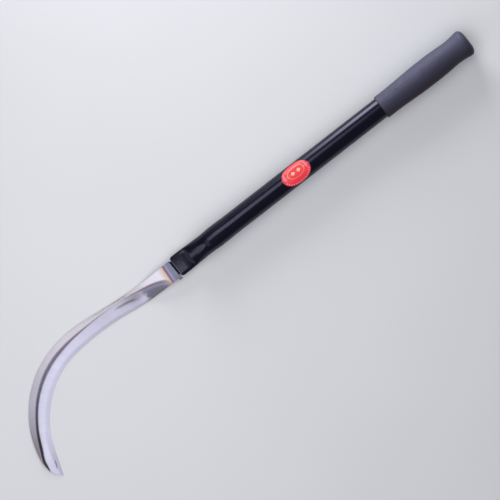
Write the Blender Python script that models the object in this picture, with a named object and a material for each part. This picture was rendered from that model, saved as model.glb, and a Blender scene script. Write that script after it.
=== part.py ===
"""Long-handled sickle, lying flat with the ridged face of its blade up.

+X runs along the handle towards the grip's butt, +Z is up, and the blade leaves the handle at -X
and sweeps round to -Y. The origin is the middle of the whole tool's footprint, on the surface it
lies on. Everything is in metres.
"""
import math

import bmesh
import bpy
from mathutils import Vector

MM = 0.001

# Handle tube, a round steel pipe with one end pressed flat.
TUBE_RADIUS = 15.9 * MM
TUBE_WALL = 1.5 * MM
TUBE_SIDES = 48
MOUTH_X = -103.4 * MM
HANDLE_Y = 57.5 * MM
HANDLE_LENGTH = 529.0 * MM
PAD_LENGTH = 14.3 * MM
PAD_HALF_WIDTH = 11.8 * MM
PAD_DEPTH = 1.6 * MM
RAMP_START = 21.0 * MM
RAMP_LENGTH = 37.8 * MM
RAMP_ROUNDING = 0.18
RAMP_STEPS = 10
PRESSED_HALF_HEIGHT = 5.1 * MM
PRESSED_DROP = 10.2 * MM
# Half width of the tube from above: distance from the mouth, half width.
TUBE_HALF_WIDTHS = [
    (0.0, 13.8 * MM), (0.8 * MM, 15.0 * MM), (2.2 * MM, 15.9 * MM), (4.0 * MM, 16.4 * MM),
    (12.0 * MM, 16.4 * MM), (34.0 * MM, 15.8 * MM), (54.0 * MM, 15.6 * MM), (74.0 * MM, 16.4 * MM),
    (100.0 * MM, 15.9 * MM),
]
MOUTH_STATIONS = [0.0, 0.8 * MM, 2.2 * MM, 4.0 * MM]
BULGE_STATIONS = [66.0 * MM, 74.0 * MM, 84.0 * MM, 92.0 * MM, 100.0 * MM]

# Gap between two pieces that touch.
GAP = 0.3 * MM

# Rubber grip, a closed sleeve: distance from its front lip, outer radius.
GRIP_LENGTH = 157.2 * MM
GRIP_END_WALL = 5.0 * MM
GRIP_LIP_ROUND = 1.0 * MM
GRIP_FLARE_RADIUS = 20.6 * MM
GRIP_BUTT_RADIUS = 9.0 * MM
GRIP_RADII = [
    (0.0, 17.2 * MM), (GRIP_LIP_ROUND, 17.9 * MM), (28.0 * MM, 18.3 * MM), (48.0 * MM, 19.1 * MM),
    (62.0 * MM, 19.7 * MM), (77.0 * MM, 20.0 * MM), (93.0 * MM, 20.0 * MM), (105.0 * MM, 19.6 * MM),
    (119.0 * MM, 18.8 * MM), (127.0 * MM, 18.5 * MM), (134.0 * MM, 18.8 * MM), (141.0 * MM, 19.5 * MM),
    (146.0 * MM, 20.3 * MM), (150.0 * MM, GRIP_FLARE_RADIUS),
]
GRIP_CORNER_START = 150.0 * MM
GRIP_CORNER_STEPS = 6
GRIP_SIDES = 48
HANDLE_Z = GRIP_FLARE_RADIUS

# Oval label wrapped over the top of the tube.
LABEL_THICKNESS = 0.3 * MM
LABEL_HALF_LENGTH = 23.4 * MM
LABEL_HALF_ARC = 17.0 * MM
LABEL_FROM_MOUTH = 218.5 * MM
LABEL_TURN = math.radians(2.5)
LABEL_RINGS = 8
LABEL_SIDES = 48

# Blade. Distances along it start where its neck begins to curve, and grow towards the tip.
CURVE_START_FROM_MOUTH = -25.7 * MM
CURVE_START_ASIDE = -2.0 * MM
CURVE_START_TURN = math.radians(1.2)
# Distance along the blade, how fast its centre line turns in degrees for each millimetre.
BLADE_CURVATURE = [
    (7.0 * MM, -0.194), (83.0 * MM, 0.041), (150.0 * MM, 0.274), (229.0 * MM, 0.410),
    (300.0 * MM, 0.491), (357.0 * MM, 0.234),
]
# Distance along the blade, distance from the centre line out to the cutting edge.
EDGE_SIDE = [
    (-24.0 * MM, 13.4 * MM), (12.0 * MM, 12.9 * MM), (40.0 * MM, 13.6 * MM), (78.0 * MM, 12.7 * MM),
    (120.0 * MM, 13.9 * MM), (145.0 * MM, 14.6 * MM), (190.0 * MM, 13.7 * MM), (225.0 * MM, 14.7 * MM),
    (255.0 * MM, 15.6 * MM), (285.0 * MM, 15.1 * MM), (305.0 * MM, 14.0 * MM), (328.0 * MM, 12.3 * MM),
    (340.0 * MM, 11.0 * MM), (352.0 * MM, 9.0 * MM), (370.0 * MM, 4.6 * MM),
]
# Distance along the blade, distance from the centre line out to the spine.
SPINE_SIDE = [
    (-24.0 * MM, 14.9 * MM), (20.0 * MM, 14.3 * MM), (45.0 * MM, 13.1 * MM), (75.0 * MM, 12.0 * MM),
    (100.0 * MM, 12.0 * MM), (130.0 * MM, 13.7 * MM), (160.0 * MM, 15.3 * MM), (190.0 * MM, 16.3 * MM),
    (215.0 * MM, 16.4 * MM), (245.0 * MM, 15.6 * MM), (275.0 * MM, 14.2 * MM), (310.0 * MM, 13.2 * MM),
    (342.0 * MM, 12.0 * MM), (355.0 * MM, 8.8 * MM),
]
# The ridge leaves the cutting edge at the heel in an arc, then runs beside the spine to the tip.
HEEL_ARC_START = -6.5 * MM
HEEL_ARC_LENGTH = 46.5 * MM
HEEL_ARC_POWER = 1.8
RIDGE = [
    (40.0 * MM, 6.9 * MM), (66.0 * MM, 8.6 * MM), (90.0 * MM, 8.3 * MM), (120.0 * MM, 6.4 * MM),
    (145.0 * MM, 5.8 * MM), (168.0 * MM, 6.7 * MM), (195.0 * MM, 7.9 * MM), (215.0 * MM, 7.7 * MM),
    (240.0 * MM, 6.4 * MM), (262.0 * MM, 5.3 * MM), (280.0 * MM, 4.8 * MM), (299.0 * MM, 5.4 * MM),
    (322.0 * MM, 7.6 * MM), (342.0 * MM, 11.8 * MM), (355.0 * MM, 8.6 * MM),
]
# Width and height of the steep flank between the ridge and the web.
FLANK_WIDTH = [
    (-6.5 * MM, 0.2 * MM), (10.0 * MM, 1.0 * MM), (85.0 * MM, 1.1 * MM), (120.0 * MM, 2.0 * MM),
    (150.0 * MM, 2.8 * MM), (190.0 * MM, 5.7 * MM), (212.0 * MM, 5.7 * MM), (235.0 * MM, 4.9 * MM),
    (262.0 * MM, 3.8 * MM), (290.0 * MM, 3.5 * MM), (325.0 * MM, 4.4 * MM), (342.0 * MM, 4.8 * MM),
    (355.0 * MM, 0.3 * MM),
]
FLANK_DROP = [
    (-6.5 * MM, 0.1 * MM), (8.0 * MM, 0.7 * MM), (40.0 * MM, 0.5 * MM), (75.0 * MM, 0.35 * MM),
    (110.0 * MM, 0.7 * MM), (150.0 * MM, 1.5 * MM), (207.0 * MM, 2.0 * MM), (300.0 * MM, 1.9 * MM),
    (342.0 * MM, 1.4 * MM), (355.0 * MM, 0.1 * MM),
]
RIDGE_HEIGHT = [
    (-24.0 * MM, 3.4 * MM), (20.0 * MM, 3.5 * MM), (60.0 * MM, 3.8 * MM), (110.0 * MM, 4.2 * MM),
    (250.0 * MM, 4.3 * MM), (320.0 * MM, 3.9 * MM), (342.0 * MM, 3.2 * MM), (355.0 * MM, 1.9 * MM),
]
SPINE_HEIGHT = [
    (-24.0 * MM, 3.3 * MM), (20.0 * MM, 3.3 * MM), (60.0 * MM, 2.9 * MM), (110.0 * MM, 2.8 * MM),
    (250.0 * MM, 2.7 * MM), (320.0 * MM, 2.6 * MM), (342.0 * MM, 3.0 * MM), (355.0 * MM, 1.7 * MM),
]
# Width of the sharpened bevel, and the blade's thickness at the bevel and at the very edge.
BEVEL_WIDTH = [
    (-6.5 * MM, 0.2 * MM), (10.0 * MM, 0.8 * MM), (50.0 * MM, 3.0 * MM), (100.0 * MM, 5.5 * MM),
    (280.0 * MM, 6.5 * MM), (330.0 * MM, 9.5 * MM), (350.0 * MM, 7.5 * MM), (370.0 * MM, 3.0 * MM),
]
BEVEL_HEIGHT = [
    (-6.5 * MM, 3.1 * MM), (10.0 * MM, 2.1 * MM), (50.0 * MM, 1.1 * MM), (100.0 * MM, 1.1 * MM),
    (280.0 * MM, 1.3 * MM), (335.0 * MM, 1.5 * MM), (370.0 * MM, 0.9 * MM),
]
EDGE_THICKNESS = [
    (-6.5 * MM, 2.9 * MM), (10.0 * MM, 1.7 * MM), (45.0 * MM, 0.5 * MM), (90.0 * MM, 0.4 * MM),
    (370.0 * MM, 0.4 * MM),
]
WEB_HOLLOW = 0.2 * MM
WEB_STEPS = 4
# Least distance between two neighbouring lines of the blade, where one of them runs out.
LINE_GAP = 0.1 * MM
SPINE_TIP = 355.0 * MM
EDGE_TIP = 370.0 * MM
TIP_FAN_START = 332.0 * MM
TIP_FAN_STEPS = 8
TIP_BULGE = 1.2 * MM
# The neck is bent down, so that the blade lies flat on the surface below the handle.
CRANK_START = -16.0 * MM
CRANK_END = 42.0 * MM
HEEL_STEP = 2.4 * MM
BLADE_STEP = 5.0 * MM

# Tang, held between the two pressed walls of the tube.
SHOULDER = -23.2 * MM
TANG_HALF_WIDTH = 11.0 * MM
TANG_THICKNESS = 2.8 * MM
TANG_LENGTH = 20.5 * MM
TANG_STEP = 0.3 * MM
SLOT_CORNER = 0.4 * MM
TANG_Z = HANDLE_Z - PRESSED_DROP
NECK_Z = TANG_Z - TANG_THICKNESS / 2 - TANG_STEP

# Welds where the shoulder of the blade meets the mouth of the tube.
TACK_SIZE = (3.2 * MM, 1.4 * MM, 1.8 * MM)
TACK_FROM_MOUTH = -3.7 * MM
TACK_ASIDE = -16.8 * MM
BEAD_RADIUS = 1.6 * MM
BEAD_HALF_LENGTH = 9.0 * MM
WELD_GAP = 0.35 * MM

SLOPE_LIMIT = 3.0


def read(table, distance):
    """A smooth value from a table of (distance, value) pairs, with no overshoot between them."""
    if distance <= table[0][0]:
        return table[0][1]
    if distance >= table[-1][0]:
        return table[-1][1]
    rises = [(b[1] - a[1]) / (b[0] - a[0]) for a, b in zip(table, table[1:])]
    slopes = [rises[0]]
    for before, after in zip(rises, rises[1:]):
        level = before * after <= 0.0
        mean = (before + after) / 2
        steepest = SLOPE_LIMIT * min(abs(before), abs(after))
        slopes.append(0.0 if level else math.copysign(min(abs(mean), steepest), mean))
    slopes.append(rises[-1])
    place = max(i for i, row in enumerate(table[:-1]) if row[0] <= distance)
    (x0, y0), (x1, y1) = table[place], table[place + 1]
    span = x1 - x0
    u = (distance - x0) / span
    start = (1 + 2 * u) * (1 - u) ** 2 * y0 + u * (1 - u) ** 2 * span * slopes[place]
    end = u * u * (3 - 2 * u) * y1 + u * u * (u - 1) * span * slopes[place + 1]
    return start + end


def ease(u):
    """Smooth step from 0 to 1."""
    u = min(max(u, 0.0), 1.0)
    return u * u * (3 - 2 * u)


def slope(u, rounding):
    """A straight rise from 0 to 1 whose two ends are rounded over the given share."""
    u = min(max(u, 0.0), 1.0)
    if u > 0.5:
        return 1 - slope(1 - u, rounding)
    if u < rounding:
        return u * u / (2 * rounding * (1 - rounding))
    return (u - rounding / 2) / (1 - rounding)


def straight(table, distance):
    """A value on straight lines between a table's pairs."""
    for (x0, y0), (x1, y1) in zip(table, table[1:]):
        if distance <= x1:
            return y0 + (y1 - y0) * max(0.0, distance - x0) / (x1 - x0)
    return table[-1][1]


def material(name, colour, roughness, metallic):
    made = bpy.data.materials.new(name)
    made.use_nodes = True
    shader = made.node_tree.nodes["Principled BSDF"]
    shader.inputs["Base Color"].default_value = (*colour, 1.0)
    shader.inputs["Roughness"].default_value = roughness
    shader.inputs["Metallic"].default_value = metallic
    return made


def face_outwards(mesh):
    work = bmesh.new()
    work.from_mesh(mesh)
    bmesh.ops.recalc_face_normals(work, faces=work.faces)
    work.to_mesh(mesh)
    work.free()


def solid(name, points, faces, finish, smooth_angle=None):
    """One closed object from points and faces, with its faces turned outwards."""
    mesh = bpy.data.meshes.new(name)
    mesh.from_pydata(points, [], faces)
    face_outwards(mesh)
    mesh.materials.append(finish)
    if smooth_angle is not None:
        mesh.shade_smooth()
        mesh.set_sharp_from_angle(angle=smooth_angle)
    made = bpy.data.objects.new(name, mesh)
    bpy.context.collection.objects.link(made)
    return made


def bridge(loops, first=0, closed=False):
    """Faces between each loop of points and the next one."""
    count = len(loops[0])
    pairs = len(loops) if closed else len(loops) - 1
    faces = []
    for row in range(pairs):
        here = first + row * count
        there = first + ((row + 1) % len(loops)) * count
        for i in range(count):
            j = (i + 1) % count
            faces.append((here + i, here + j, there + j, there + i))
    return faces


def centre_line(end, step=1.0 * MM):
    """Points and directions of the blade's centre line, a curve whose curvature is set."""
    x = MOUTH_X + CURVE_START_FROM_MOUTH
    y = HANDLE_Y + CURVE_START_ASIDE
    turn = CURVE_START_TURN
    line = [(Vector((x, y)), turn)]
    for i in range(int(end / step) + 1):
        middle = (i + 0.5) * step
        bend = math.radians(straight(BLADE_CURVATURE, middle)) * step / MM
        turn += bend / 2
        x -= math.cos(turn) * step
        y -= math.sin(turn) * step
        turn += bend / 2
        line.append((Vector((x, y)), turn))
    return line


def on_blade(line, distance, aside, step=1.0 * MM):
    """The place at a distance along the blade and a distance aside, positive to the spine."""
    place = distance / step
    low = min(max(int(place), 0), len(line) - 2)
    point = line[low][0].lerp(line[low + 1][0], place - low)
    share = min(max(place - low, 0.0), 1.0)
    turn = line[low][1] + (line[low + 1][1] - line[low][1]) * share
    return point + aside * Vector((-math.sin(turn), math.cos(turn)))


def ridge_aside(distance):
    """How far the ridge is from the centre line."""
    if distance >= RIDGE[0][0]:
        return read(RIDGE, distance)
    low = -read(EDGE_SIDE, distance) + 5 * LINE_GAP
    if distance <= HEEL_ARC_START:
        return low
    share = 1 - (distance - HEEL_ARC_START) / HEEL_ARC_LENGTH
    rise = (1 - share ** HEEL_ARC_POWER) ** (1 / HEEL_ARC_POWER)
    return low + (RIDGE[0][1] - low) * rise


def blade_profile(edge_distance, spine_distance):
    """One cross-section as (share from edge to spine, height) pairs, round the blade."""
    middle = (edge_distance + spine_distance) / 2
    edge = -read(EDGE_SIDE, edge_distance)
    spine = read(SPINE_SIDE, spine_distance)
    ridge = min(ridge_aside(spine_distance), spine - 2 * LINE_GAP)
    foot = ridge - read(FLANK_WIDTH, spine_distance)
    bevel = min(edge + read(BEVEL_WIDTH, edge_distance), foot - LINE_GAP)
    top = read(RIDGE_HEIGHT, spine_distance)
    foot_height = top - read(FLANK_DROP, spine_distance)
    bevel_height = min(read(BEVEL_HEIGHT, edge_distance), foot_height - LINE_GAP / 2)
    thin = read(EDGE_THICKNESS, edge_distance)
    hollow = WEB_HOLLOW * ease((middle - HEEL_ARC_START) / HEEL_ARC_LENGTH)
    rows = [(edge, 0.0), (edge, thin)]
    for i in range(WEB_STEPS):
        u = i / WEB_STEPS
        sunk = hollow * 4 * u * (1 - u)
        rows.append((bevel + (foot - bevel) * u, bevel_height + (foot_height - bevel_height) * u - sunk))
    rows += [(foot, foot_height), (ridge, top), (spine, read(SPINE_HEIGHT, spine_distance)), (spine, 0.0)]
    return [((aside - edge) / (spine - edge), height) for aside, height in rows]


def blade_section(line, edge_distance, spine_distance, bulge):
    """The points of one cross-section of the blade, in space."""
    start = on_blade(line, edge_distance, -read(EDGE_SIDE, edge_distance))
    end = on_blade(line, spine_distance, read(SPINE_SIDE, spine_distance))
    outward = Vector((-(end - start).y, (end - start).x)).normalized()
    points = []
    for share, height in blade_profile(edge_distance, spine_distance):
        flat = start.lerp(end, share) + outward * bulge * 4 * share * (1 - share)
        along = edge_distance + (spine_distance - edge_distance) * share
        base = NECK_Z * (1 - ease((along - CRANK_START) / (CRANK_END - CRANK_START)))
        points.append(Vector((flat.x, flat.y, base + height)))
    return points


def tang_section(x, count):
    """The tang's rectangle with the blade's number of points: its top edge takes the extra ones."""
    low, high = TANG_Z - TANG_THICKNESS / 2, TANG_Z + TANG_THICKNESS / 2
    front, back = HANDLE_Y - TANG_HALF_WIDTH, HANDLE_Y + TANG_HALF_WIDTH
    tops = [front + (back - front) * i / (count - 3) for i in range(count - 2)]
    return [Vector((x, front, low))] + [Vector((x, y, high)) for y in tops] + [Vector((x, back, low))]


def blade_stations():
    """Distances along the edge and the spine of each cross-section, and the tip's bulge there."""
    rows = []
    distance = SHOULDER
    while distance < TIP_FAN_START - BLADE_STEP / 2:
        rows.append((distance, distance, 0.0))
        distance += HEEL_STEP if distance < CRANK_END else BLADE_STEP
    for i in range(TIP_FAN_STEPS + 1):
        u = i / TIP_FAN_STEPS
        edge = TIP_FAN_START + (EDGE_TIP - TIP_FAN_START) * u
        spine = TIP_FAN_START + (SPINE_TIP - TIP_FAN_START) * u
        rows.append((edge, spine, TIP_BULGE * u * u))
    return rows


def build_blade():
    """Forged steel blade with its ridge, hollow web, sharpened bevel, bent neck and tang."""
    line = centre_line(EDGE_TIP)
    loops = [blade_section(line, *row) for row in blade_stations()]
    count = len(loops[0])
    shoulder_x = loops[0][0].x
    tang_end = tang_section(shoulder_x + TANG_LENGTH, count)
    tang_root = tang_section(shoulder_x, count)
    loops = [tang_end, tang_root] + loops
    faces = bridge(loops)
    faces.append(tuple(range(count)))
    last = (len(loops) - 1) * count
    faces.append(tuple(last + i for i in range(count)))
    points = [point for loop in loops for point in loop]
    steel = material("blade_steel", (0.62, 0.62, 0.68), 0.35, 1.0)
    return solid("blade", points, faces, steel, math.radians(12))


def rounded_section(x, half_width, half_height, corner, z, sides):
    """A rounded rectangle across the handle: a circle where all three sizes are the radius."""
    points = []
    for i in range(sides):
        angle = 2 * math.pi * i / sides
        c, s = math.cos(angle), math.sin(angle)
        y_sign = 0.0 if abs(c) < 1e-9 else math.copysign(1.0, c)
        z_sign = 0.0 if abs(s) < 1e-9 else math.copysign(1.0, s)
        y = y_sign * (half_width - corner) + corner * c
        points.append(Vector((x, HANDLE_Y + y, z + z_sign * (half_height - corner) + corner * s)))
    return points


def tube_section(from_mouth, inner):
    """The tube's outer or inner outline at a distance from its mouth."""
    flat = 1 - slope((from_mouth - RAMP_START) / RAMP_LENGTH, RAMP_ROUNDING)
    half_width = read(TUBE_HALF_WIDTHS, from_mouth)
    x = MOUTH_X + from_mouth
    z = HANDLE_Z - PRESSED_DROP * flat
    if inner:
        bore = TUBE_RADIUS - TUBE_WALL
        width = (1 - flat) * (half_width - TUBE_WALL) + flat * (TANG_HALF_WIDTH + GAP)
        height = (1 - flat) * bore + flat * (TANG_THICKNESS / 2 + GAP)
        corner = (1 - flat) * bore + flat * SLOT_CORNER
        return rounded_section(x, width, height, min(corner, width, height), z, TUBE_SIDES)
    height = (1 - flat) * TUBE_RADIUS + flat * PRESSED_HALF_HEIGHT
    return rounded_section(x, half_width, height, min(height, half_width), z, TUBE_SIDES)


def pad_cutter(name, top):
    """Box that sinks one press mark into the flattened end."""
    slot_wall = PRESSED_HALF_HEIGHT - PAD_DEPTH
    middle = TANG_Z + (slot_wall + PRESSED_HALF_HEIGHT) * (1 if top else -1)
    bpy.ops.mesh.primitive_cube_add(size=1.0, location=(MOUTH_X, HANDLE_Y, middle))
    cutter = bpy.context.object
    cutter.name = name
    cutter.dimensions = (2 * PAD_LENGTH, 2 * PAD_HALF_WIDTH, 2 * PRESSED_HALF_HEIGHT)
    bpy.ops.object.transform_apply(location=True, rotation=True, scale=True)
    cutter.hide_render = True
    cutter.display_type = "WIRE"
    return cutter


def build_tube():
    """Black steel tube, pressed over the tang at its mouth and open at its butt end."""
    ramp = [RAMP_START + RAMP_LENGTH * i / RAMP_STEPS for i in range(RAMP_STEPS + 1)]
    butt = HANDLE_LENGTH - GRIP_END_WALL - GAP
    stations = MOUTH_STATIONS + [PAD_LENGTH] + ramp + BULGE_STATIONS + [butt]
    outside = [tube_section(place, False) for place in stations]
    inside = [tube_section(place, True) for place in reversed(stations)]
    loops = outside + inside
    points = [point for loop in loops for point in loop]
    paint = material("tube_paint", (0.012, 0.012, 0.018), 0.15, 0.0)
    tube = solid("handle_tube", points, bridge(loops, closed=True), paint, math.radians(25))
    for name, top in (("pad_cutter_top", True), ("pad_cutter_under", False)):
        cut = tube.modifiers.new(name, "BOOLEAN")
        cut.operation = "DIFFERENCE"
        cut.solver = "EXACT"
        cut.object = pad_cutter(name, top)
    return tube


def turned(name, profile, finish, sides, smooth_angle):
    """A closed turned piece on the handle's axis from (distance from the mouth, radius) pairs.

    The first and last points lie on the axis.
    """
    points = [Vector((MOUTH_X + profile[0][0], HANDLE_Y, HANDLE_Z))]
    for place, radius in profile[1:-1]:
        for i in range(sides):
            angle = 2 * math.pi * i / sides
            y = HANDLE_Y + radius * math.cos(angle)
            points.append(Vector((MOUTH_X + place, y, HANDLE_Z + radius * math.sin(angle))))
    points.append(Vector((MOUTH_X + profile[-1][0], HANDLE_Y, HANDLE_Z)))
    rings = [points[1 + i * sides:1 + (i + 1) * sides] for i in range(len(profile) - 2)]
    faces = bridge(rings, first=1)
    last = len(points) - 1
    for i in range(sides):
        j = (i + 1) % sides
        faces.append((0, 1 + j, 1 + i))
        faces.append((last, last - sides + i, last - sides + j))
    return solid(name, points, faces, finish, smooth_angle)


def build_grip():
    """Rubber sleeve with a swelling for the palm, a waist and a flare before its closed end."""
    front = HANDLE_LENGTH - GRIP_LENGTH
    bore = TUBE_RADIUS + GAP
    floor = HANDLE_LENGTH - GRIP_END_WALL
    outer = [(front + place, radius) for place, radius in GRIP_RADII]
    corner_length = GRIP_LENGTH - GRIP_CORNER_START
    corner_height = GRIP_FLARE_RADIUS - GRIP_BUTT_RADIUS
    for i in range(1, GRIP_CORNER_STEPS + 1):
        angle = math.pi / 2 * i / GRIP_CORNER_STEPS
        place = front + GRIP_CORNER_START + corner_length * math.sin(angle)
        outer.append((place, GRIP_BUTT_RADIUS + corner_height * math.cos(angle)))
    profile = [(floor, 0.0), (floor, bore), (front, bore)] + outer + [(HANDLE_LENGTH, 0.0)]
    rubber = material("grip_rubber", (0.055, 0.052, 0.065), 0.75, 0.0)
    return turned("grip", profile, rubber, GRIP_SIDES, math.radians(35))


def label_point(along, arc, radius):
    """A place on the label, from its middle: along the tube, round it, and out from its axis."""
    angle = LABEL_TURN + arc / (TUBE_RADIUS + GAP)
    y = HANDLE_Y + radius * math.sin(angle)
    return Vector((MOUTH_X + LABEL_FROM_MOUTH + along, y, HANDLE_Z + radius * math.cos(angle)))


def build_label():
    """Thin oval label that follows the tube."""
    points = []
    sheets = (TUBE_RADIUS + GAP, TUBE_RADIUS + GAP + LABEL_THICKNESS)
    for radius in sheets:
        points.append(label_point(0.0, 0.0, radius))
        for ring in range(1, LABEL_RINGS + 1):
            share = ring / LABEL_RINGS
            for i in range(LABEL_SIDES):
                angle = 2 * math.pi * i / LABEL_SIDES
                along = LABEL_HALF_LENGTH * share * math.cos(angle)
                arc = LABEL_HALF_ARC * share * math.sin(angle)
                points.append(label_point(along, arc, radius))
    size = 1 + LABEL_RINGS * LABEL_SIDES
    faces = []
    for middle in (0, size):
        first = middle + 1
        rings = [points[first + r * LABEL_SIDES:first + (r + 1) * LABEL_SIDES] for r in range(LABEL_RINGS)]
        faces += bridge(rings, first=first)
        faces += [(middle, first + i, first + (i + 1) % LABEL_SIDES) for i in range(LABEL_SIDES)]
    rim = size - LABEL_SIDES
    for i in range(LABEL_SIDES):
        j = (i + 1) % LABEL_SIDES
        faces.append((rim + i, rim + j, size + rim + j, size + rim + i))
    red = material("label_red", (0.80, 0.035, 0.07), 0.35, 0.0)
    return solid("oval_label", points, faces, red)


def build_weld_tack():
    """Small lump of weld between the blade's shoulder and the mouth, on the cutting-edge side."""
    place = (MOUTH_X + TACK_FROM_MOUTH, HANDLE_Y + TACK_ASIDE, TANG_Z)
    bpy.ops.mesh.primitive_ico_sphere_add(subdivisions=3, radius=1.0, location=place)
    tack = bpy.context.object
    tack.name = "weld_tack"
    tack.scale = TACK_SIZE
    bpy.ops.object.transform_apply(location=False, rotation=False, scale=True)
    tack.data.shade_smooth()
    tack.data.materials.append(material("tack_steel", (0.20, 0.20, 0.23), 0.6, 1.0))
    return tack


def build_weld_bead():
    """Bead across the underside of the neck, against the lower lip of the mouth."""
    x = MOUTH_X - WELD_GAP - BEAD_RADIUS
    z = NECK_Z - WELD_GAP - BEAD_RADIUS
    bpy.ops.mesh.primitive_uv_sphere_add(segments=16, ring_count=10, radius=BEAD_RADIUS)
    bead = bpy.context.object
    bead.name = "weld_bead_under"
    for vertex in bead.data.vertices:
        up = vertex.co.z
        stretch = 0.0 if abs(up) < 1e-6 else math.copysign(BEAD_HALF_LENGTH - BEAD_RADIUS, up)
        vertex.co = Vector((vertex.co.x, up + stretch, vertex.co.y))
    face_outwards(bead.data)
    bead.location = (x, HANDLE_Y, z)
    bead.data.shade_smooth()
    bead.data.materials.append(material("bead_steel", (0.17, 0.17, 0.19), 0.65, 1.0))
    return bead


def main():
    for old in list(bpy.data.objects):
        bpy.data.objects.remove(old, do_unlink=True)
    build_blade()
    build_tube()
    build_grip()
    build_label()
    build_weld_tack()
    build_weld_bead()


main()
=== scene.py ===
"""Long-handled sickle, dressed: a forged blade, a painted tube, two welds, a label and a grip.

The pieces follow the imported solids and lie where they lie. Sizes are in millimetres until a piece
is placed, and metres from there on.
"""
import math

import bmesh
import bpy
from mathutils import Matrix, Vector


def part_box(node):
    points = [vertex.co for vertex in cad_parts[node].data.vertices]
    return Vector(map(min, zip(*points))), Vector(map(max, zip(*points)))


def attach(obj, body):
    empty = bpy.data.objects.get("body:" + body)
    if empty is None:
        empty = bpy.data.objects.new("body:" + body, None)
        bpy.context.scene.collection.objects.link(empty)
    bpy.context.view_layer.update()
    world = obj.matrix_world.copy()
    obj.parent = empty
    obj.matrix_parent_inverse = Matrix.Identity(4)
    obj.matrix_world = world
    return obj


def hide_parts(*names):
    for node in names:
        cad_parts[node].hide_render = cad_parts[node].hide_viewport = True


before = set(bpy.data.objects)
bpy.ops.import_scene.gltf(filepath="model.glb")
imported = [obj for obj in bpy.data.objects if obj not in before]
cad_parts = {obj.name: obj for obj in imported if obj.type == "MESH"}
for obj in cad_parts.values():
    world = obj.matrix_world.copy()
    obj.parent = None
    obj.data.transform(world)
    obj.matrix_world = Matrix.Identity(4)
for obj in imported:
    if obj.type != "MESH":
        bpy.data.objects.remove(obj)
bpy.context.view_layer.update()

# Forged blade. One piece of carbon steel with its tang, ridged beside the spine by the hammer, then
# ground bright on a wheel and sharpened along its inner side. Heat has coloured the neck, and black
# forging scale is left at the heel and in the flank below the ridge. The flank is also painted darker
# as painted shade where it turns from the light.
MM = 0.001
tube_low, tube_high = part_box("handle_tube")
grip_low, grip_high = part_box("grip")
MOUTH_X = tube_low.x / MM
AXIS_Y = (tube_low.y + tube_high.y) / 2 / MM
AXIS_Z = (grip_low.z + grip_high.z) / 2 / MM
TANG_DROP = 10.2
TANG_Z = AXIS_Z - TANG_DROP
TANG_THICKNESS = 2.8
TANG_HALF_WIDTH = 11.0
TANG_LENGTH = 20.5
TANG_STEP = 0.3
NECK_Z = TANG_Z - TANG_THICKNESS / 2 - TANG_STEP
SHOULDER = -23.2

# The centre line starts near the mouth. The table has the distance along it and how fast it turns
# there, in degrees a millimetre.
LINE_START = (MOUTH_X - 25.7, AXIS_Y - 2.0)
LINE_TURN = math.radians(1.2)
CURVATURE = [(7, -0.194), (83, 0.041), (150, 0.274), (229, 0.410), (300, 0.491), (357, 0.234)]

# Distance along the blade against a distance aside, a width or a height.
EDGE_SIDE = [
    (-24, 13.4), (12, 12.9), (40, 13.6), (78, 12.7), (120, 13.9), (145, 14.6), (190, 13.7),
    (225, 14.7), (255, 15.6), (285, 15.1), (305, 14.0), (328, 12.3), (340, 11.0), (352, 9.0),
    (370, 4.6),
]
SPINE_SIDE = [
    (-24, 14.9), (20, 14.3), (45, 13.1), (75, 12.0), (100, 12.0), (130, 13.7), (160, 15.3),
    (190, 16.3), (215, 16.4), (245, 15.6), (275, 14.2), (310, 13.2), (342, 12.0), (355, 8.8),
]
HEEL_ARC_START = -6.5
HEEL_ARC_LENGTH = 46.5
HEEL_ARC_POWER = 1.8
RIDGE = [
    (40, 6.9), (66, 8.6), (90, 8.3), (120, 6.4), (145, 5.8), (168, 6.7), (195, 7.9), (215, 7.7),
    (240, 6.4), (262, 5.3), (280, 4.8), (299, 5.4), (322, 7.6), (342, 11.8), (355, 8.6),
]
FLANK_WIDTH = [
    (-6.5, 0.2), (10, 1.0), (85, 1.1), (120, 2.0), (150, 2.8), (190, 5.7), (212, 5.7), (235, 4.9),
    (262, 3.8), (290, 3.5), (325, 4.4), (342, 4.8), (355, 0.3),
]
FLANK_DROP = [
    (-6.5, 0.1), (8, 0.7), (40, 0.5), (75, 0.35), (110, 0.7), (150, 1.5), (207, 2.0), (300, 1.9),
    (342, 1.4), (355, 0.1),
]
RIDGE_HEIGHT = [
    (-24, 3.4), (20, 3.5), (60, 3.8), (110, 4.2), (250, 4.3), (320, 3.9), (342, 3.2), (355, 1.9),
]
SPINE_HEIGHT = [
    (-24, 3.3), (20, 3.3), (60, 2.9), (110, 2.8), (250, 2.7), (320, 2.6), (342, 3.0), (355, 1.7),
]
BEVEL_WIDTH = [
    (-6.5, 0.2), (10, 0.8), (50, 3.0), (100, 5.5), (280, 6.5), (330, 9.5), (350, 7.5), (370, 3.0),
]
BEVEL_HEIGHT = [(-6.5, 3.1), (10, 2.1), (50, 1.1), (100, 1.1), (280, 1.3), (335, 1.5), (370, 0.9)]
EDGE_THICKNESS = [(-6.5, 2.9), (10, 1.7), (45, 0.5), (90, 0.4), (370, 0.4)]
WEB_HOLLOW = 0.09
WEB_STEPS = 4
# The least distance kept between two lines of the section.
LINE_GAP = 0.1
CRANK_START = -16.0
CRANK_END = 42.0
HEEL_STEP = 2.4
BLADE_STEP = 5.0
TIP_FAN_START = 332.0
TIP_FAN_STEPS = 8
SPINE_TIP = 355.0
EDGE_TIP = 369.98
TIP_BULGE = 1.2
SLOPE_LIMIT = 3.0

# How far each corner of the section is cut back before it is rounded, by its place in the section,
# and the largest share of a side that a cut takes.
CORNER_CUTS = {2: 0.6, 6: 0.5, 7: 0.6, 8: 0.2, 9: 0.5}
CUT_LIMIT = 0.35
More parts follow.
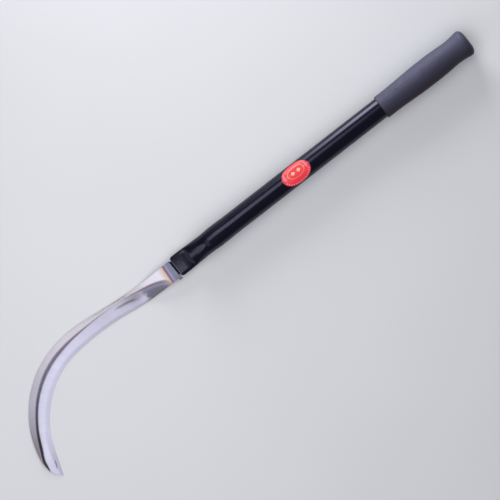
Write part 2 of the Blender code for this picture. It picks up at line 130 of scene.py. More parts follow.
# What each vertex of the blade remembers, in millimetres, for the finish. The lane counts the lines of
# the section: 0 cutting edge, 1 bevel line, 2 foot of the flank, 3 ridge, 4 spine, 5 under the spine.
MARKS = ("along", "from_edge", "below", "lane", "under")
SPINE_LANES = (3.6, 4.4)
TANG_LANE = 3.5


def read(table, distance):
    """A smooth value from a table of (distance, value) pairs, with no overshoot between them."""
    if distance <= table[0][0]:
        return table[0][1]
    if distance >= table[-1][0]:
        return table[-1][1]
    rises = [(b[1] - a[1]) / (b[0] - a[0]) for a, b in zip(table, table[1:])]
    slopes = [rises[0]]
    for before, after in zip(rises, rises[1:]):
        steepest = SLOPE_LIMIT * min(abs(before), abs(after))
        mean = (before + after) / 2
        slopes.append(0.0 if before * after <= 0 else math.copysign(min(abs(mean), steepest), mean))
    slopes.append(rises[-1])
    place = max(i for i, row in enumerate(table[:-1]) if row[0] <= distance)
    (x0, y0), (x1, y1) = table[place], table[place + 1]
    span = x1 - x0
    u = (distance - x0) / span
    start = (1 + 2 * u) * (1 - u) ** 2 * y0 + u * (1 - u) ** 2 * span * slopes[place]
    end = u * u * (3 - 2 * u) * y1 + u * u * (u - 1) * span * slopes[place + 1]
    return start + end


def ease(u):
    """Smooth step from 0 to 1."""
    u = min(max(u, 0.0), 1.0)
    return u * u * (3 - 2 * u)


def blade_line():
    """The blade's centre line: a point and a heading for each millimetre along it."""
    x, y = LINE_START
    turn = LINE_TURN
    line = [(Vector((x, y)), turn)]
    for i in range(int(EDGE_TIP) + 1):
        (x0, k0), (x1, k1) = next(
            (a, b) for a, b in zip(CURVATURE, CURVATURE[1:]) if i + 0.5 <= b[0] or b is CURVATURE[-1]
        )
        share = min(max((i + 0.5 - x0) / (x1 - x0), 0.0), 1.0)
        bend = math.radians(k0 + (k1 - k0) * share)
        turn += bend / 2
        x -= math.cos(turn)
        y -= math.sin(turn)
        turn += bend / 2
        line.append((Vector((x, y)), turn))
    return line


CENTRE_LINE = blade_line()


def on_blade(distance, aside):
    """The place at a distance along the blade and a distance aside, positive to the spine."""
    low = min(max(int(distance), 0), len(CENTRE_LINE) - 2)
    point = CENTRE_LINE[low][0].lerp(CENTRE_LINE[low + 1][0], distance - low)
    share = min(max(distance - low, 0.0), 1.0)
    turn = CENTRE_LINE[low][1] + (CENTRE_LINE[low + 1][1] - CENTRE_LINE[low][1]) * share
    return point + aside * Vector((-math.sin(turn), math.cos(turn)))


def ridge_aside(distance):
    """How far the ridge is from the centre line. At the heel it leaves the edge in an arc."""
    if distance >= RIDGE[0][0]:
        return read(RIDGE, distance)
    low = -read(EDGE_SIDE, distance) + 5 * LINE_GAP
    if distance <= HEEL_ARC_START:
        return low
    share = 1 - (distance - HEEL_ARC_START) / HEEL_ARC_LENGTH
    rise = (1 - share ** HEEL_ARC_POWER) ** (1 / HEEL_ARC_POWER)
    return low + (RIDGE[0][1] - low) * rise


def cut_corners(rows, cuts):
    """Cuts the named corners of a section off, by their sizes, for the subdivision to round."""
    made = []
    for i, row in enumerate(rows):
        if i not in cuts:
            made.append(row)
            continue
        for other in (rows[i - 1], rows[(i + 1) % len(rows)]):
            span = max((other - row).xy.length, LINE_GAP / 10)
            made.append(row.lerp(other, min(cuts[i] / span, CUT_LIMIT)))
    return made


def section_rows(edge_at, spine_at):
    """One cross-section round the blade, as rows of (aside, height, lane, under)."""
    middle = (edge_at + spine_at) / 2
    edge = -read(EDGE_SIDE, edge_at)
    spine = read(SPINE_SIDE, spine_at)
    ridge = min(ridge_aside(spine_at), spine - 2 * LINE_GAP)
    foot = ridge - read(FLANK_WIDTH, spine_at)
    bevel = min(edge + read(BEVEL_WIDTH, edge_at), foot - LINE_GAP)
    top = read(RIDGE_HEIGHT, spine_at)
    foot_height = top - read(FLANK_DROP, spine_at)
    bevel_height = min(read(BEVEL_HEIGHT, edge_at), foot_height - LINE_GAP / 2)
    hollow = WEB_HOLLOW * ease((middle - HEEL_ARC_START) / HEEL_ARC_LENGTH)
    rows = [Vector((edge, 0, 0, 1)), Vector((edge, read(EDGE_THICKNESS, edge_at), 0, 0))]
    for i in range(WEB_STEPS):
        u = i / WEB_STEPS
        height = bevel_height + (foot_height - bevel_height) * u - hollow * 4 * u * (1 - u)
        rows.append(Vector((bevel + (foot - bevel) * u, height, 1 + u, 0)))
    rows += [Vector((foot, foot_height, 2, 0)), Vector((ridge, top, 3, 0))]
    rows += [Vector((spine, read(SPINE_HEIGHT, spine_at), 4, 0)), Vector((spine, 0, 5, 1))]
    return cut_corners(rows, CORNER_CUTS), edge, spine, ridge


def blade_section(edge_at, spine_at, bulge):
    """One cross-section of the blade in space: a place in metres and its marks for each corner."""
    rows, edge, spine, ridge = section_rows(edge_at, spine_at)
    start = on_blade(edge_at, edge)
    end = on_blade(spine_at, spine)
    outward = Vector((-(end - start).y, (end - start).x)).normalized()
    made = []
    for aside, height, lane, under in rows:
        share = (aside - edge) / (spine - edge)
        flat = start.lerp(end, share) + outward * bulge * 4 * share * (1 - share)
        along = edge_at + (spine_at - edge_at) * share
        base = NECK_Z * (1 - ease((along - CRANK_START) / (CRANK_END - CRANK_START)))
        place = Vector((flat.x, flat.y, base + height)) * MM
        made.append((place, (along, aside - edge, ridge - aside, lane, under)))
    return made


def tang_section(x, along, count):
    """The tang's rectangle, with as many corners as the blade has. Its marks keep the finish plain."""
    low, high = TANG_Z - TANG_THICKNESS / 2, TANG_Z + TANG_THICKNESS / 2
    front, back = AXIS_Y - TANG_HALF_WIDTH, AXIS_Y + TANG_HALF_WIDTH
    tops = [front + (back - front) * i / (count - 3) for i in range(count - 2)]
    places = [(front, low)] + [(y, high) for y in tops] + [(back, low)]
    plain = (along, TANG_HALF_WIDTH, -TANG_HALF_WIDTH, TANG_LANE, 0.0)
    return [(Vector((x, y, z)) * MM, plain) for y, z in places]


def blade_stations():
    """Where each section meets the cutting edge and the spine, and how far the tip bulges there."""
    rows = []
    distance = SHOULDER
    while distance < TIP_FAN_START - BLADE_STEP / 2:
        rows.append((distance, distance, 0.0))
        distance += HEEL_STEP if distance < CRANK_END else BLADE_STEP
    for i in range(TIP_FAN_STEPS + 1):
        u = i / TIP_FAN_STEPS
        edge_at = TIP_FAN_START + (EDGE_TIP - TIP_FAN_START) * u
        rows.append((edge_at, TIP_FAN_START + (SPINE_TIP - TIP_FAN_START) * u, TIP_BULGE * u * u))
    return rows


def edit(piece):
    """Makes one piece the only one selected, and opens it in edit mode with nothing selected."""
    bpy.ops.object.select_all(action="DESELECT")
    piece.select_set(True)
    bpy.context.view_layer.objects.active = piece
    bpy.ops.object.mode_set(mode="EDIT")
    bpy.ops.mesh.select_mode(type="VERT")
    bpy.ops.mesh.select_all(action="DESELECT")


def close(piece):
    """Turns a piece's faces outwards and leaves edit mode."""
    bpy.ops.mesh.select_all(action="SELECT")
    bpy.ops.mesh.normals_make_consistent(inside=False)
    bpy.ops.object.mode_set(mode="OBJECT")


def pick(piece, kind, test, marks=()):
    """Selects the vertices, edges or faces that pass a test, and nothing else.

    The test is given the part, and then the layers of the marks that it reads.
    """
    bpy.ops.mesh.select_mode(type={"verts": "VERT", "edges": "EDGE", "faces": "FACE"}[kind])
    bpy.ops.mesh.select_all(action="DESELECT")
    work = bmesh.from_edit_mesh(piece.data)
    layers = [work.verts.layers.float[name] for name in marks]
    for part in getattr(work, kind):
        if test(part, *layers):
            part.select_set(True)
    work.select_flush_mode()
    bmesh.update_edit_mesh(piece.data)


def put_section(piece, section):
    """Moves the corners of the selected face to a section's places, and marks them."""
    work = bmesh.from_edit_mesh(piece.data)
    corners = next(face for face in work.faces if face.select).verts
    layers = [work.verts.layers.float[name] for name in MARKS]
    for corner, (place, marks) in zip(corners, section):
        corner.co = place
        for layer, value in zip(layers, marks):
            corner[layer] = value
    bmesh.update_edit_mesh(piece.data)


def apply_modifier(piece, kind, **settings):
    """Adds a modifier with its settings and applies it."""
    modifier = piece.modifiers.new(kind.lower(), kind)
    for name, value in settings.items():
        setattr(modifier, name, value)
    bpy.context.view_layer.objects.active = piece
    bpy.ops.object.modifier_apply(modifier=modifier.name)


blade_sections = [blade_section(*row) for row in blade_stations()]
corner_count = len(blade_sections[0])
shoulder_x = blade_sections[0][0][0].x / MM
tang_end = tang_section(shoulder_x + TANG_LENGTH, SHOULDER - TANG_LENGTH, corner_count)
tang_root = tang_section(shoulder_x, SHOULDER - LINE_GAP, corner_count)
bpy.ops.mesh.primitive_circle_add(vertices=corner_count, radius=TANG_HALF_WIDTH * MM, fill_type="NGON")
blade = bpy.context.object
blade.name = "forged_blade"
for name in MARKS:
    blade.data.attributes.new(name, "FLOAT", "POINT")
edit(blade)
bpy.ops.mesh.select_all(action="SELECT")
put_section(blade, tang_end)
for section in [tang_root] + blade_sections:
    bpy.ops.mesh.extrude_region_move()
    put_section(blade, section)

# The subdivision leaves the cutting edge, the spine, the tang and the tip sharp, and the shoulder
# nearly so.
SHOULDER_CREASE = 0.6


def is_sharp_line(edge, along, lane):
    """Whether an edge runs along the cutting edge, the spine or the tang, or round one of the ends."""
    first, second = edge.verts
    lengthwise = abs(first[along] - second[along]) > LINE_GAP / 2
    low, high = sorted((first[lane], second[lane]))
    on_edge = high < 0.01
    on_spine = SPINE_LANES[0] < low and high < SPINE_LANES[1]
    on_tang = min(first[along], second[along]) < SHOULDER - LINE_GAP / 2
    at_end = any(len(face.verts) == corner_count for face in edge.link_faces)
    return at_end or lengthwise and (on_edge or on_spine or on_tang)


def is_shoulder_line(edge, along):
    """Whether an edge runs round the shoulder."""
    ends = [vertex[along] for vertex in edge.verts]
    return SHOULDER - 2 * LINE_GAP < min(ends) and max(ends) < SHOULDER + LINE_GAP


pick(blade, "edges", is_shoulder_line, ["along"])
bpy.ops.transform.edge_crease(value=SHOULDER_CREASE)
pick(blade, "edges", is_sharp_line, ["along", "lane"])
bpy.ops.transform.edge_crease(value=1.0)
close(blade)
apply_modifier(blade, "SUBSURF", levels=2, render_levels=2)

# A knock in the bevel near the tip, which spares the underside.
KNOCK_ALONG = 350.3
KNOCK_FROM_EDGE = 5.0
KNOCK_HALF_LENGTH = 6.0
KNOCK_HALF_WIDTH = 1.0
KNOCK_DEPTH = 0.3
marks = [blade.data.attributes[name].data for name in ("along", "from_edge", "under")]
for vertex, *remembered in zip(blade.data.vertices, *marks):
    along, from_edge, under = (item.value for item in remembered)
    run = (along - KNOCK_ALONG) / KNOCK_HALF_LENGTH
    rise = (from_edge - KNOCK_FROM_EDGE) / KNOCK_HALF_WIDTH
    vertex.co.z -= KNOCK_DEPTH * MM * math.exp(-run * run - rise * rise) * (1 - under)
bpy.ops.object.shade_smooth_by_angle(angle=math.radians(28))


class Wire:
    """One output of a finish's nodes, which adds, subtracts, multiplies and divides like a number."""

    def __init__(self, finish, socket):
        self.finish = finish
        self.socket = socket

    def __add__(self, other):
        return self.finish.maths("ADD", self, other)

    __radd__ = __add__

    def __sub__(self, other):
        return self.finish.maths("SUBTRACT", self, other)

    def __rsub__(self, other):
        return self.finish.maths("SUBTRACT", other, self)

    def __mul__(self, other):
        return self.finish.maths("MULTIPLY", self, other)

    __rmul__ = __mul__

    def __truediv__(self, other):
        return self.finish.maths("DIVIDE", self, other)

    def __rtruediv__(self, other):
        return self.finish.maths("DIVIDE", other, self)

    def __pow__(self, other):
        return self.finish.maths("POWER", self, other)

    def __abs__(self):
        return self.finish.maths("ABSOLUTE", self)


def tint(red, green, blue):
    """A colour from its screen values, 0 to 255, as a shader takes it."""
    parts = [value / 255 for value in (red, green, blue)]
    linear = [part / 12.92 if part <= 0.04045 else ((part + 0.055) / 1.055) ** 2.4 for part in parts]
    return (*linear, 1.0)


class Finish:
    """A material made of nodes. Its shader's plain sockets are given as it is made."""

    def __init__(self, name, plain):
        self.material = bpy.data.materials.new(name)
        self.material.use_nodes = True
        self.tree = self.material.node_tree
        self.shader = self.tree.nodes["Principled BSDF"]
        for socket, value in plain.items():
            self.shader.inputs[socket].default_value = value

    def node(self, kind, settings, sockets, output=0):
        """Adds a node: its settings first, then the values or wires of its sockets."""
        made = self.tree.nodes.new("ShaderNode" + kind)
        for name, value in settings.items():
            if name != "stops":
                setattr(made, name, value)
                continue
            made.color_ramp.interpolation = "EASE"
            stops = made.color_ramp.elements
            while len(stops) < len(value):
                stops.new(1.0)
            for stop, (place, colour) in zip(stops, value):
                stop.position, stop.color = place, colour
        for key, value in sockets.items():
            if isinstance(value, Wire):
                self.tree.links.new(value.socket, made.inputs[key])
            else:
                made.inputs[key].default_value = value
        return Wire(self, made.outputs[output])

    def maths(self, operation, *values):
        """One step of arithmetic on numbers and wires."""
        return self.node("Math", {"operation": operation}, dict(enumerate(values)))

    def mark(self, name):
        """A number that the piece's vertices remember."""
        return self.node("Attribute", {"attribute_name": name}, {}, "Fac")

    def axes(self):
        """The place on the piece, as three wires in millimetres."""
        place = self.node("TexCoord", {}, {}, "Object")
        return [self.node("SeparateXYZ", {}, {0: place}, i) / MM for i in range(3)]

    def spot(self, x, y, z=0.0):
        """Three wires or numbers as one place, for noise to be read at, or as one colour."""
        return self.node("CombineXYZ", {}, {0: x, 1: y, 2: z})

    def noise(self, place, size, detail=2.0, roughness=0.5):
        """Cloudy noise from 0 to 1 whose patches are about the given size."""
        sockets = {"Vector": place, "Scale": 1 / size, "Detail": detail, "Roughness": roughness}
        return self.node("TexNoise", {}, sockets)

    def cells(self, place, size):
        """Distance from the middle of the nearest of many random cells of the given size."""
        return self.node("TexVoronoi", {}, {"Vector": place, "Scale": 1 / size})

    def rise(self, value, low, high):
        """A smooth step from 0 where the value is low to 1 where it is high."""
        sockets = {"Value": value, "From Min": low, "From Max": high}
        return self.node("MapRange", {"interpolation_type": "SMOOTHSTEP"}, sockets)

    def band(self, value, low, high, soft):
        """1 where the value is between low and high, with soft ends."""
        return self.rise(value, low - soft, low + soft) * (1 - self.rise(value, high - soft, high + soft))

    def tones(self, value, stops):
        """A colour read from (value, colour) pairs, which follow each other smoothly."""
        low, high = stops[0][0], stops[-1][0]
        places = [((place - low) / (high - low), colour) for place, colour in stops]
        share = (value - low) / (high - low)
        return self.node("ValToRGB", {"stops": places}, {0: share})

    def mix(self, base, over, share):
        """One colour over another, by a share."""
        return self.node("Mix", {"data_type": "RGBA"}, {0: share, 6: base, 7: over}, 2)

    def shade(self, colour, amount):
        """A colour made lighter or darker by an amount round 1."""
        sockets = {0: 1.0, 6: colour, 7: self.spot(amount, amount, amount)}
        return self.node("Mix", {"data_type": "RGBA", "blend_type": "MULTIPLY"}, sockets, 2)

    def bump(self, height, depth):
        """A normal from a height of 0 to 1 that stands for a depth in millimetres."""
        return self.node("Bump", {}, {"Strength": 1.0, "Distance": depth * MM, "Height": height})

    def paint(self, piece, wires):
        """Joins the wires to the shader's sockets and puts the finish on a piece."""
        for socket, wire in wires.items():
            self.tree.links.new(wire.socket, self.shader.inputs[socket])
        piece.data.materials.clear()
        piece.data.materials.append(self.material)


# Colours against the distance along the blade: the web, the strip beside the spine, the flank and
# the bevel. The strip is painted lighter at the heel as painted light and darker towards the tip as
# painted shade, the flank darker towards the tip partly as painted shade, and the bevel lighter as
# painted light.
WEB_TONES = [
    (40, tint(198, 195, 218)), (85, tint(213, 211, 232)), (195, tint(221, 219, 243)),
    (260, tint(214, 213, 236)), (330, tint(215, 214, 235)), (350, tint(205, 204, 225)),
]
STRIP_LIT_AND_SHADED_TONES = [
    (10, tint(228, 223, 236)), (64, tint(162, 156, 160)), (95, tint(188, 185, 192)),
    (180, tint(206, 200, 210)), (255, tint(181, 178, 191)), (325, tint(147, 140, 152)),
]
FLANK_SCALE_AND_SHADE_TONES = [
    (46, tint(170, 158, 166)), (80, tint(214, 207, 216)), (120, tint(208, 200, 211)),
    (190, tint(160, 152, 172)), (262, tint(150, 142, 158)), (318, tint(88, 79, 84)),
]
BEVEL_LIT_TONES = [
    (60, tint(194, 193, 214)), (160, tint(206, 203, 225)), (215, tint(217, 214, 238)),
    (295, tint(218, 215, 238)), (355, tint(193, 191, 212)),
]
# Colours against the distance below the ridge, over the scale at the heel.
SCALE_TONES = [
    (3, tint(174, 168, 192)), (7.7, tint(140, 141, 161)), (13, tint(137, 136, 149)),
    (19, tint(147, 147, 155)),
]
# Temper colours: how far along the blade each one is full and where it is gone, and its strength.
TEMPER = [
    (tint(206, 180, 163), -8.5, 2.0, 0.85), (tint(126, 101, 121), -10.0, -7.4, 1.0),
    (tint(152, 147, 176), -12.4, -10.6, 1.0), (tint(130, 134, 155), -16.4, -14.0, 1.0),
]
TANG_SHADE = tint(26, 27, 42)
HEEL_SHADE = tint(163, 155, 168)
STROKE_DARK = tint(118, 109, 119)
KNOCK_SHADE = tint(112, 108, 128)
GROUND_MARK = tint(182, 173, 194)
UNDER_STEEL = tint(150, 148, 162)
WALL_SCALE = tint(140, 136, 150)
STROKE_START = 48
STROKE_END = 78
STROKE_FROM_EDGE = 14.7
STROKE_HALF_WIDTH = 3.0
# How much longer and wider than the knock its painted shade is.
KNOCK_SHADE_SPREAD = (1.08, 1.2)
SCALE_END = 26
SCALE_FADE = 12
GROUND_START = 178
GROUND_END = 252
FOOT_LANE = 2.0
RIDGE_LANE = 3.0

steel = Finish("ground_carbon_steel", {"Metallic": 1.0})
along, from_edge, below, lane, under = (steel.mark(name) for name in MARKS)
upper = 1 - steel.rise(under, 0.05, 0.5)
flow = steel.spot(along, from_edge)
wheel_marks = steel.noise(steel.spot((along + from_edge * 0.35) / 0.5, from_edge / 9), 1.0, 3.0)
wheel_streaks = steel.noise(steel.spot((along - from_edge * 0.25) / 3.2, from_edge / 26), 1.0, 2.0)
clouds = steel.noise(flow, 24.0, 3.0)
grain = steel.noise(steel.spot(along, from_edge, under), 1.7, 4.0, 0.65)
blots = steel.noise(steel.spot(along + 40, from_edge, under), 6.0, 3.0, 0.55)

strip_share = steel.rise(lane, RIDGE_LANE - 0.08, RIDGE_LANE + 0.06)
metal = steel.mix(steel.tones(along, WEB_TONES), steel.tones(along, STRIP_LIT_AND_SHADED_TONES), strip_share)
bevel_share = 1 - steel.rise(lane, 0.75, 1.05)
metal = steel.mix(metal, steel.tones(along, BEVEL_LIT_TONES), bevel_share * steel.rise(along, 40, 90))

# The short dark stroke in the web with painted shade round it, and the knock near the tip with
# painted shade in its hollow.
heel_shade_share = steel.rise(along, 28, 44) * (1 - steel.rise(along, 47, 74)) * steel.rise(from_edge, 7, 13.5)
web_share = 1 - steel.rise(lane, FOOT_LANE - 0.1, FOOT_LANE)
metal = steel.mix(metal, HEEL_SHADE, heel_shade_share * web_share * upper * 0.8)
stroke_bend = 3.2 * steel.maths("EXPONENT", (STROKE_START - 2 - along) / 6)
stroke_middle = STROKE_FROM_EDGE - stroke_bend + (blots - 0.5) * 1.2
stroke = 1 - steel.rise(abs(from_edge - stroke_middle), 0.2, STROKE_HALF_WIDTH)
stroke = stroke * steel.band(along, STROKE_START, STROKE_END, 7)
metal = steel.mix(metal, STROKE_DARK, stroke * upper * (1.3 - along / 110))
knock_run = (along - KNOCK_ALONG) / (KNOCK_HALF_LENGTH * KNOCK_SHADE_SPREAD[0])
knock_rise = (from_edge - KNOCK_FROM_EDGE) / (KNOCK_HALF_WIDTH * KNOCK_SHADE_SPREAD[1])
knock_off = knock_run ** 2 + knock_rise ** 2
metal = steel.mix(metal, KNOCK_SHADE, (1 - steel.rise(knock_off, 0.1, 1.3)) * 0.8)

# Black scale, rough and mottled, in the hollow between the heel's arc and the first ground stretch.
rough_end = along + (grain - 0.5) * 10 + (blots - 0.5) * 16 - steel.rise(from_edge, 8, 20) * 3
heel_share = steel.rise(along, -9, -6)
rough = steel.rise(below, 0.4, 1.4) * (1 - steel.rise(rough_end, SCALE_END, SCALE_END + SCALE_FADE))
rough = rough * upper * heel_share
scale_colour = steel.tones(below + (blots - 0.5) * 2, SCALE_TONES)
mottle = 0.84 + 0.20 * grain + 0.14 * blots + 0.12 * (1 - steel.rise(along, -3, 8))
metal = steel.mix(metal, steel.shade(scale_colour, mottle), rough)

# The flank is a thin line round the heel's arc, ground diagonally in the middle and dark to the tip,
# partly as scale and partly as painted shade where it turns from the light.
flank = steel.rise(lane, FOOT_LANE - 0.02, FOOT_LANE + 0.14)
flank = flank * (1 - steel.rise(lane, RIDGE_LANE - 0.08, RIDGE_LANE + 0.1)) * upper * heel_share
diagonals = steel.noise(steel.spot((along - below * 1.4) / 1.7, below / 14), 1.0, 1.0)
ground = steel.rise(diagonals, 0.42, 0.62) * steel.band(along, GROUND_START, GROUND_END, 14)
flank_colour = steel.mix(steel.tones(along, FLANK_SCALE_AND_SHADE_TONES), GROUND_MARK, ground * 0.7)
metal = steel.mix(metal, flank_colour, flank)

# Temper colours where the heat of the weld ran out, then the tang, painted dark as shade where it
# goes into the tube.
heat = along + (blots - 0.5) * 0.8 + from_edge * 0.07 - 0.4
for temper_colour, full, gone, strength in TEMPER:
    metal = steel.mix(metal, temper_colour, (1 - steel.rise(heat, full, gone)) * strength)
neck_lines = steel.noise(steel.spot(along / 0.9, from_edge / 30), 1.0, 2.0)
neck_share = 1 - steel.rise(along, -16, -9)
metal = steel.shade(metal, 1 + neck_share * (neck_lines - 0.5) * 0.5)
metal = steel.mix(metal, TANG_SHADE, 1 - steel.rise(along, SHOULDER + 0.2, SHOULDER + 0.9))

# The side wall of the spine keeps its scale, and the flat underside is ground less bright.
wall = steel.rise(lane, 4.08, 4.2) * (1 - steel.rise(lane, 4.97, 5.0)) * steel.rise(along, -14, -8)
metal = steel.mix(metal, WALL_SCALE, wall * 0.8)
beneath = steel.rise(under, 0.5, 0.95)
metal = steel.mix(metal, UNDER_STEEL, beneath)

metal = steel.shade(metal, 0.80 + 0.20 * clouds + 0.14 * wheel_streaks + 0.06 * wheel_marks)
dullness = 0.30 + 0.08 * clouds + 0.07 * wheel_marks
dullness = dullness + 0.26 * rough + 0.12 * flank + 0.06 * bevel_share
skin = grain * (0.2 + 0.8 * steel.maths("MAXIMUM", rough, beneath * 0.5)) + wheel_marks * 0.3
steel.paint(blade, {
    "Base Color": metal,
    "Roughness": dullness,
    "Normal": steel.bump(skin, 0.06),
})
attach(blade, "root")
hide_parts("blade")

# Handle tube. Drawn steel pipe with one end pressed flat over the tang, then painted glossy black.
# The press has left a dull, scored mark above and below, and the rim of the mouth is rubbed bare.
TUBE_RADIUS = 15.9
TUBE_WALL = 1.5
TUBE_SIDES = 96
TUBE_END = tube_high.x / MM
PAD_LENGTH = 14.3
PAD_HALF_WIDTH = 11.8
PAD_DEPTH = 1.6
PAD_SLOPE = 0.35
RAMP_START = 21.0
RAMP_LENGTH = 37.8
RAMP_ROUNDING = 0.18
RAMP_STEPS = 24
PRESSED_HALF_HEIGHT = 5.1
PRESSED_DROP = AXIS_Z - TANG_Z
SLOT_GAP = 0.3
SLOT_CORNER = 0.4
RAMP_CROWN = 1.9
CROWN_START = 20.0
CROWN_RISE = 10.0
CROWN_END = 28.0
CROWN_FADE = 26.0
CROWN_HALF_WIDTH = 11.0
# Distances from the mouth: half widths of the tube, and where it is cut across beside the ramp.
TUBE_HALF_WIDTHS = [
    (0, 13.8), (0.8, 15.0), (2.2, 15.9), (4, 16.4), (12, 16.4), (34, 15.8), (54, 15.6), (74, 16.4),
    (100, 15.9),
]
MOUTH_STATIONS = [0.4, 0.8, 1.5, 2.2, 3.0, 4.0, 8.0, PAD_LENGTH, 17.0]
BULGE_STATIONS = [62, 66, 70, 74, 79, 84, 88, 92, 96, 100, 102, TUBE_END - MOUTH_X - 2]
RIM_ROUND = 0.2


def slope(u, rounding):
    """A straight rise from 0 to 1 whose two ends are rounded over the given share."""
    u = min(max(u, 0.0), 1.0)
    if u > 0.5:
        return 1 - slope(1 - u, rounding)
    if u < rounding:
        return u * u / (2 * rounding * (1 - rounding))
    return (u - rounding / 2) / (1 - rounding)


def tube_size(from_mouth, inner):
    """Half width, half height, corner radius and middle height of the tube's outline at a place."""
    flat = 1 - slope((from_mouth - RAMP_START) / RAMP_LENGTH, RAMP_ROUNDING)
    half_width = read(TUBE_HALF_WIDTHS, from_mouth)
    middle = AXIS_Z - PRESSED_DROP * flat
    if inner:
        bore = TUBE_RADIUS - TUBE_WALL
        half_width = (1 - flat) * (half_width - TUBE_WALL) + flat * (TANG_HALF_WIDTH + SLOT_GAP)
        half_height = (1 - flat) * bore + flat * (TANG_THICKNESS / 2 + SLOT_GAP)
        corner = (1 - flat) * bore + flat * SLOT_CORNER
        return half_width, half_height, min(corner, half_width, half_height), middle
    half_height = (1 - flat) * TUBE_RADIUS + flat * PRESSED_HALF_HEIGHT
    return half_width, half_height, min(half_height, half_width), middle


def round_outline(turn, half_width, half_height, corner):
    """A place on a rounded rectangle as (across, up). The turn gives the share of the way round."""
    quarter, share = divmod(turn / (math.pi / 2) % 4, 1.0)
    share = 1 - share if quarter % 2 else share
    side, top, arc = half_height - corner, half_width - corner, math.pi / 2 * corner
    way = share * (side + arc + top)
    if way < side:
        across, up = half_width, way
    elif way < side + arc:
        angle = (way - side) / corner
        across, up = top + corner * math.cos(angle), side + corner * math.sin(angle)
    else:
        across, up = top - (way - side - arc), half_height
    return across if quarter in (0, 3) else -across, up if quarter in (0, 1) else -up


def ramp_fall(from_mouth, across):
    """How far the top of the ramp falls to its sides, since the press leaves it a little crowned."""
    share = ease((from_mouth - CROWN_START) / CROWN_RISE)
    share *= 1 - ease((from_mouth - CROWN_END) / CROWN_FADE)
    return RAMP_CROWN * share * min(abs(across) / CROWN_HALF_WIDTH, 1.0) ** 2


def pressed_pipe(name, radius, inner):
    """An open pipe, cut across at its stations and pressed to the tube's outline there."""
    length, middle = TUBE_END - MOUTH_X, (TUBE_END + MOUTH_X) / 2
    bpy.ops.mesh.primitive_cylinder_add(
        vertices=TUBE_SIDES, radius=radius * MM, depth=length * MM, end_fill_type="NOTHING",
        location=Vector((middle, AXIS_Y, AXIS_Z)) * MM, rotation=(0, math.pi / 2, 0),
    )
    pipe = bpy.context.object
    pipe.name = name
    bpy.ops.object.transform_apply(location=True, rotation=True, scale=True)
    edit(pipe)
    ramp = [RAMP_START + RAMP_LENGTH * i / RAMP_STEPS for i in range(RAMP_STEPS + 1)]
    for from_mouth in MOUTH_STATIONS + ramp + BULGE_STATIONS:
        bpy.ops.mesh.select_all(action="SELECT")
        bpy.ops.mesh.bisect(plane_co=((MOUTH_X + from_mouth) * MM, 0, 0), plane_no=(1, 0, 0))
    bpy.ops.object.mode_set(mode="OBJECT")
    for vertex in pipe.data.vertices:
        x, y, z = vertex.co / MM
        turn = math.atan2(z - AXIS_Z, y - AXIS_Y)
        *size, middle = tube_size(x - MOUTH_X, inner)
        across, up = round_outline(turn, *size)
        if not inner and up > 0:
            up -= ramp_fall(x - MOUTH_X, across)
        vertex.co = Vector((x, AXIS_Y + across, middle + up)) * MM
    return pipe


def press_mark(pipe, side):
    """Sinks one press mark into the flattened end: side is 1 for the upper one, -1 for the lower."""
    floor = PRESSED_HALF_HEIGHT - PAD_DEPTH

    def in_mark(face):
        x, y, z = face.calc_center_median() / MM
        deep = side * (z - TANG_Z) > floor
        return x - MOUTH_X < PAD_LENGTH and abs(y - AXIS_Y) < PAD_HALF_WIDTH and deep

    for edge_y in (AXIS_Y - PAD_HALF_WIDTH, AXIS_Y + PAD_HALF_WIDTH):
        pick(pipe, "faces", lambda face: face.calc_center_median().x / MM - MOUTH_X < PAD_LENGTH)
        bpy.ops.mesh.bisect(plane_co=(0, edge_y * MM, 0), plane_no=(0, 1, 0))
    pick(pipe, "faces", in_mark)
    bpy.ops.mesh.inset(thickness=PAD_SLOPE * MM, depth=0.0, use_boundary=False)
    plane = Vector((MOUTH_X, AXIS_Y, TANG_Z + side * floor)) * MM
    bpy.ops.transform.resize(value=(1, 1, 0), center_override=plane)
    work = bmesh.from_edit_mesh(pipe.data)
    pressed = work.verts.layers.float["pressed"]
    for vertex in work.verts:
        if vertex.select:
            vertex[pressed] = 1.0
    bmesh.update_edit_mesh(pipe.data)


tube = pressed_pipe("painted_tube", TUBE_RADIUS, inner=False)
tube.data.attributes.new("pressed", "FLOAT", "POINT")
edit(tube)
press_mark(tube, 1)
press_mark(tube, -1)
bpy.ops.object.mode_set(mode="OBJECT")
bore = pressed_pipe("bore", TUBE_RADIUS - TUBE_WALL, inner=True)
edit(bore)
bpy.ops.mesh.select_all(action="SELECT")
bpy.ops.mesh.flip_normals()
bpy.ops.object.mode_set(mode="OBJECT")
tube.select_set(True)
bpy.context.view_layer.objects.active = tube
bpy.ops.object.join()
edit(tube)
for end_x in (MOUTH_X, TUBE_END):
    pick(
        tube, "edges",
        lambda edge: edge.is_boundary and abs(edge.verts[0].co.x / MM - end_x) < LINE_GAP,
    )
    bpy.ops.mesh.bridge_edge_loops()
close(tube)
rim_angle = math.radians(38)
apply_modifier(
    tube, "BEVEL", width=RIM_ROUND * MM, segments=2, limit_method="ANGLE", angle_limit=rim_angle,
)
bpy.ops.object.shade_smooth_by_angle(angle=math.radians(30))

PAINT_BLACK = tint(8, 7, 21)
PRESSED_DARK = tint(22, 21, 31)
PRESSED_LIGHT = tint(70, 69, 82)
BARE_RIM = tint(104, 102, 118)
CREASE_ACROSS = 7.8

